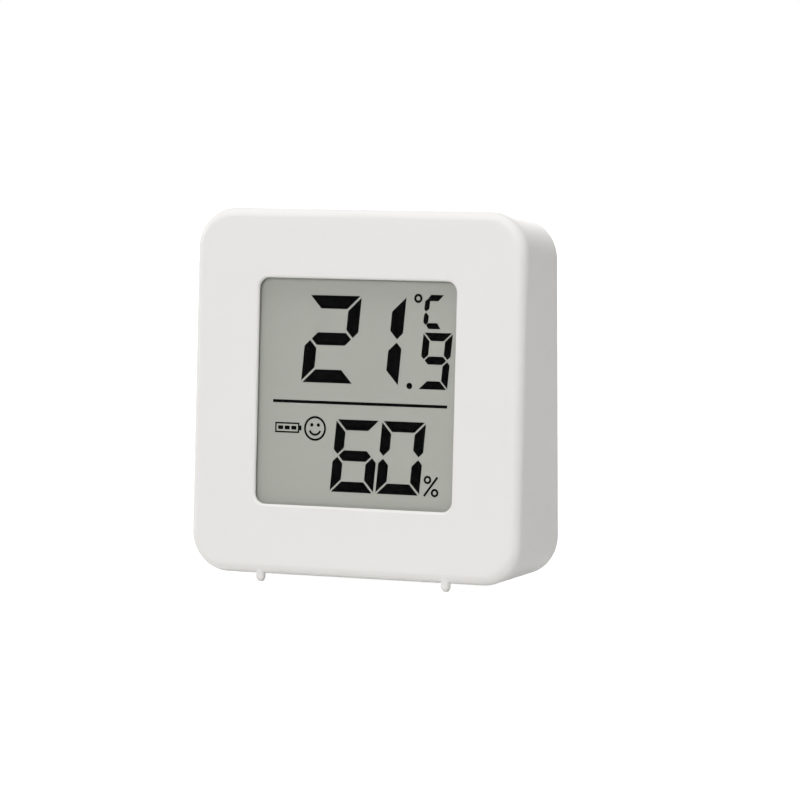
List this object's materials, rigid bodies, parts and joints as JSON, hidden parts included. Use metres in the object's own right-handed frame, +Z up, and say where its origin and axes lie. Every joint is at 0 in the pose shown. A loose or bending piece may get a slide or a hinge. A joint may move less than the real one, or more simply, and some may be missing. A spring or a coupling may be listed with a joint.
{
  "type": "temperature humidity sensor",
  "caption": "Square battery powered room sensor with a segment display, small feet, hanging keyhole, unit button and hinged coin cell door.",
  "frame": {"origin": "centre of the outline seen from above, on the surface that the feet stand on", "axes": "+X to the viewer's right, +Y from the display towards the wall, +Z up"},
  "size_m": [0.045, 0.016, 0.0459],
  "materials": {
    "housing_plastic": "fine matte moulded white plastic",
    "cover_plastic": "fine matte moulded white plastic",
    "button_plastic": "smooth pale grey plastic",
    "adhesive": "clear pressure adhesive",
    "clear_window": "clear moulded window, low glare",
    "display_film": "grey reflective display film",
    "display_glass": "thin display glass",
    "frame_plastic": "white moulded frame",
    "contact_rubber": "layered rubber contact strip",
    "board_laminate": "green solder mask over glass laminate",
    "screw_steel": "bright zinc plated steel",
    "chip_resin": "black resin",
    "sensor_plastic": "white sensor case",
    "sensor_bead": "dark sensor bead on tinned leads",
    "small_part_ceramic": "tan ceramic with tinned ends",
    "switch_plastic": "black switch plastic",
    "contact_metal": "nickel plated spring strip",
    "cell_steel": "brushed stainless steel",
    "cell_gasket": "moulded gasket",
    "cell_core": "pressed electrode powder"
  },
  "bodies": {
    "housing": {"front_housing": "housing_plastic", "window_adhesive": "adhesive", "display_window": "clear_window", "lcd_front_polarizer": "display_film", "lcd_front_glass": "display_glass", "lcd_rear_glass": "display_glass", "lcd_rear_reflector": "display_film", "display_frame": "frame_plastic", "zebra_strip": "contact_rubber", "circuit_board": "board_laminate", "board_screws": "screw_steel", "controller_chip": "chip_resin", "humidity_sensor": "sensor_plastic", "thermistor": "sensor_bead", "board_capacitors": "small_part_ceramic", "board_resistors": "chip_resin", "button_switch": "switch_plastic", "negative_contact": "contact_metal", "positive_contact": "contact_metal", "coin_cell_can": "cell_steel", "coin_cell_gasket": "cell_gasket", "coin_cell_cap": "cell_steel", "coin_cell_core": "cell_core", "rear_cover": "cover_plastic", "rear_cover_screws": "screw_steel"},
    "unit_button": {"unit_button": "button_plastic"},
    "switch_plunger": {"switch_plunger": "switch_plastic"},
    "battery_door": {"battery_door": "cover_plastic"}
  },
  "joints": [
    {"name": "unit_button_press", "type": "slide", "parent": "housing", "child": "unit_button", "axis": [0, -1, 0], "range_m": [0, 0.00025], "stiffness_N_per_m": 1200},
    {"name": "plunger_press", "type": "slide", "parent": "housing", "child": "switch_plunger", "axis": [0, -0.9978, 0.0658], "range_m": [0, 0.00026], "stiffness_N_per_m": 300},
    {"name": "battery_door_hinge", "type": "hinge", "parent": "housing", "child": "battery_door", "pos_m": [0, 0.007, 0.02805], "axis": [1, 0, 0], "range_deg": [0, 95]}
  ],
  "couplings": [
    {"joint": "plunger_press", "follows": "unit_button_press", "ratio": 1}
  ]
}
